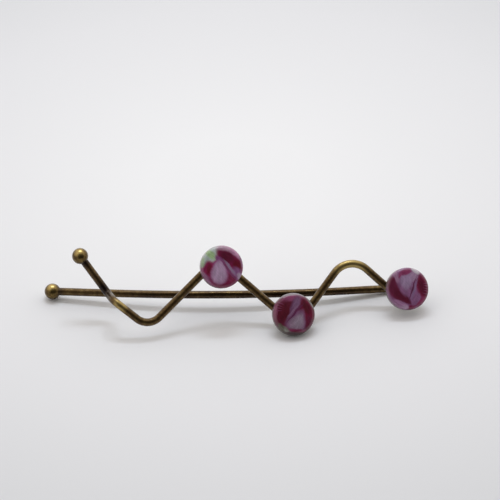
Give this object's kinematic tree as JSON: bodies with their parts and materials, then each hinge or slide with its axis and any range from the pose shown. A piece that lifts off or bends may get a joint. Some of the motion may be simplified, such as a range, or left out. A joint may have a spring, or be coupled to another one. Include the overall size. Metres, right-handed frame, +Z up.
{
  "type": "hairpin",
  "caption": "Bent wire hairpin with a straight arm, a zigzag arm, ball tips and small china discs on the zigzag's bends.",
  "frame": {"origin": "under the middle of the pin's bounding box, on the table that it lies on", "axes": "+Z up from the table, +X along the pin from its ball tips to its U-bend, +Y away from the side that shows the china discs"},
  "size_m": [0.0829, 0.0236, 0.0173],
  "materials": {
    "antique_brass": "darkened antique brass, worn bright on its high lines",
    "printed_china": "glazed china with a printed rose"
  },
  "bodies": {
    "root": {"wire_frame": "antique_brass", "tip_ball_straight": "antique_brass", "tip_ball_zigzag": "antique_brass", "china_disc_first": "printed_china", "china_disc_second": "printed_china", "china_disc_end": "printed_china"}
  },
  "joints": []
}
